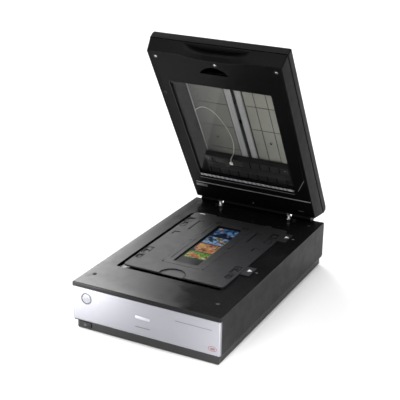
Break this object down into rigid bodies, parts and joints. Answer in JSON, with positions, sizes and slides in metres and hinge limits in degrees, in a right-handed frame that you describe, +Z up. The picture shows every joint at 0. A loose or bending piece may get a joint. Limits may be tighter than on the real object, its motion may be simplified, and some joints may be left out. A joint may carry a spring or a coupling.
{
  "type": "flatbed film scanner",
  "caption": "Flatbed film scanner with its lid open on lifting hinges, a lamp unit in the lid, and a film holder lying on the platen glass.",
  "frame": {"origin": "centre of the base's underside, at the level of the surface that the feet stand on", "axes": "+X to the right seen from the front, +Y to the rear where the lid is hinged, +Z up; the lid is open 59 degrees from shut"},
  "size_m": [0.308, 0.5307, 0.514],
  "materials": {
    "dark_plastic": "satin, finely grained charcoal",
    "plinth_plastic": "satin dark grey",
    "silver_fascia": "satin silver paint",
    "black_plastic": "satin black",
    "holder_plastic": "matt, finely grained",
    "clear_glass": "clear",
    "rubber": "matt",
    "blackened_steel": "matt black",
    "steel": "plain sheet",
    "bright_metal": "bright",
    "tray_plastic": "matt grey",
    "lamp_glass": "opal white",
    "mirror_glass": "mirror",
    "circuit_board": "solder mask",
    "button_silver": "satin",
    "film": null,
    "cable_jacket": "satin grey"
  },
  "bodies": {
    "base": {"bottom_case": "plinth_plastic", "upper_case": "dark_plastic", "front_fascia": "silver_fascia", "platen_glass": "clear_glass", "chassis_plate": "blackened_steel", "guide_rod": "steel", "support_rail": "steel", "drive_motor": "dark_plastic", "drive_belt": "rubber", "idler_bracket": "steel", "tension_spring": "steel", "main_board": "circuit_board", "connector_panel": "steel", "power_inlet": "black_plastic", "data_port_square": "black_plastic", "data_port_wide": "black_plastic", "lid_cable_port": "black_plastic", "start_button_ring": "black_plastic", "hinge_socket_left": "black_plastic", "hinge_socket_right": "black_plastic", "foot_front_left": "rubber", "foot_front_right": "rubber", "foot_rear_left": "rubber", "foot_rear_right": "rubber"},
    "carriage": {"carriage_housing": "black_plastic", "carriage_cover": "black_plastic", "carriage_bearing": "black_plastic", "carriage_glide": "black_plastic", "lamp_tube": "lamp_glass", "mirror_front": "mirror_glass", "mirror_rear": "mirror_glass", "lens_barrel": "black_plastic", "sensor_board": "circuit_board"},
    "motor_pulley": {"motor_pulley": "bright_metal"},
    "idler_pulley": {"idler_pulley": "bright_metal"},
    "start_button": {"start_button": "button_silver"},
    "power_button": {"power_button": "black_plastic"},
    "transport_lock": {"transport_lock": "black_plastic"},
    "hinge_legs": {"hinge_leg_left": "black_plastic", "hinge_leg_right": "black_plastic", "hinge_post_left": "bright_metal", "hinge_post_right": "bright_metal"},
    "lid": {"lid_upper_shell": "dark_plastic", "lid_lower_shell": "dark_plastic", "lid_inner_panel": "black_plastic", "lid_window": "clear_glass", "lid_window_trim": "bright_metal", "lid_tray": "tray_plastic", "lid_rail": "dark_plastic", "lid_hinge_bracket": "black_plastic", "lamp_cable": "cable_jacket"},
    "lid_lamp": {"lid_lamp_housing": "black_plastic", "lid_lamp_tube": "lamp_glass"},
    "film_holder": {"film_holder_plate": "holder_plastic", "film_strip": "film"},
    "film_cover": {"film_cover": "holder_plastic"},
    "slider_front_left": {"height_slider_front_left": "holder_plastic"},
    "slider_rear_left": {"height_slider_rear_left": "holder_plastic"},
    "slider_front_right": {"height_slider_front_right": "holder_plastic"},
    "slider_rear_right": {"height_slider_rear_right": "holder_plastic"}
  },
  "joints": [
    {"name": "carriage_travel", "type": "slide", "parent": "base", "child": "carriage", "axis": [0, -1, 0], "range_m": [0, 0.31]},
    {"name": "motor_pulley_spin", "type": "hinge", "parent": "base", "child": "motor_pulley", "pos_m": [-0.084, -0.214, 0.032], "axis": [0, 0, 1], "range_deg": [-2200, 0]},
    {"name": "idler_pulley_spin", "type": "hinge", "parent": "base", "child": "idler_pulley", "pos_m": [-0.084, 0.192, 0.032], "axis": [0, 0, 1], "range_deg": [-2200, 0]},
    {"name": "start_button_press", "type": "slide", "parent": "base", "child": "start_button", "axis": [0, 1, 0], "range_m": [0, 0.0015], "stiffness_N_per_m": 600},
    {"name": "power_button_press", "type": "slide", "parent": "base", "child": "power_button", "axis": [0, 1, 0], "range_m": [0, 0.002], "stiffness_N_per_m": 500},
    {"name": "transport_lock_slide", "type": "slide", "parent": "base", "child": "transport_lock", "axis": [1, 0, 0], "range_m": [0, 0.012]},
    {"name": "lid_lift", "type": "slide", "parent": "base", "child": "hinge_legs", "axis": [0, 0, 1], "range_m": [0, 0.02]},
    {"name": "lid_hinge", "type": "hinge", "parent": "hinge_legs", "child": "lid", "pos_m": [0, 0.226, 0.0866], "axis": [-1, 0, 0], "range_deg": [-59, 0]},
    {"name": "lid_lamp_travel", "type": "slide", "parent": "lid", "child": "lid_lamp", "axis": [0, -0.515, 0.8572], "range_m": [0, 0.2], "deforming": ["lamp_cable"]},
    {"name": "film_holder_lift", "type": "slide", "parent": "base", "child": "film_holder", "axis": [0, 0, 1], "range_m": [0, 0.07]},
    {"name": "film_cover_hinge", "type": "hinge", "parent": "film_holder", "child": "film_cover", "pos_m": [-0.049, 0.017, 0.1014], "axis": [0, -1, 0], "range_deg": [0, 100]},
    {"name": "height_slide_front_left", "type": "slide", "parent": "film_holder", "child": "slider_front_left", "axis": [0, 1, 0], "range_m": [-0.012, 0.012]},
    {"name": "height_slide_rear_left", "type": "slide", "parent": "film_holder", "child": "slider_rear_left", "axis": [0, 1, 0], "range_m": [-0.012, 0.012]},
    {"name": "height_slide_front_right", "type": "slide", "parent": "film_holder", "child": "slider_front_right", "axis": [0, 1, 0], "range_m": [-0.012, 0.012]},
    {"name": "height_slide_rear_right", "type": "slide", "parent": "film_holder", "child": "slider_rear_right", "axis": [0, 1, 0], "range_m": [-0.012, 0.012]}
  ],
  "couplings": [
    {"joint": "motor_pulley_spin", "follows": "carriage_travel", "rad_per_m": -117.65},
    {"joint": "idler_pulley_spin", "follows": "carriage_travel", "rad_per_m": -117.65}
  ]
}
